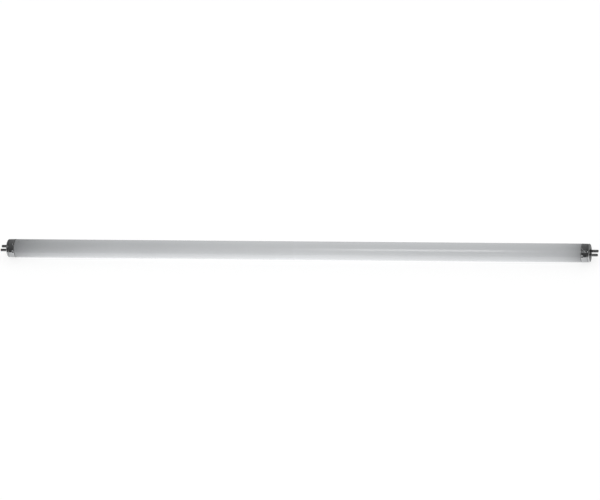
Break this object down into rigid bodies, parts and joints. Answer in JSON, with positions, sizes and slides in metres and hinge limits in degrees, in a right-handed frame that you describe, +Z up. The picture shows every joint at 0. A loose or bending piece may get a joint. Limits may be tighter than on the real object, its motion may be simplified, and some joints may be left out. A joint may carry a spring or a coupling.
{
  "type": "fluorescent tube",
  "caption": "Straight fluorescent tube of white coated glass, with a crimped aluminium cap and round contact pins on each end.",
  "frame": {"origin": "middle of the lamp on its axis", "axes": "+X along the axis to the end that the picture shows at the right, +Z up; the pins of both ends lie side by side in the XY plane"},
  "size_m": [0.53, 0.0162, 0.0162],
  "materials": {
    "coated_glass": "clear gloss glass over an opaque white coating",
    "cap_metal": "drawn sheet, half bright",
    "insulation": "moulded, dull",
    "basing_cement": "chalky",
    "pin_metal": "dull nickel plate",
    "lead_wire": "plain wire with a solder drop"
  },
  "bodies": {
    "root": {"discharge_tube": "coated_glass", "cap_shell_left": "cap_metal", "cap_shell_right": "cap_metal", "insulator_left": "insulation", "insulator_right": "insulation", "cement_left": "basing_cement", "cement_right": "basing_cement", "contact_pin_left_front": "pin_metal", "contact_pin_left_back": "pin_metal", "contact_pin_right_front": "pin_metal", "contact_pin_right_back": "pin_metal", "lead_wire_left_front": "lead_wire", "lead_wire_left_back": "lead_wire", "lead_wire_right_front": "lead_wire", "lead_wire_right_back": "lead_wire"}
  },
  "joints": []
}
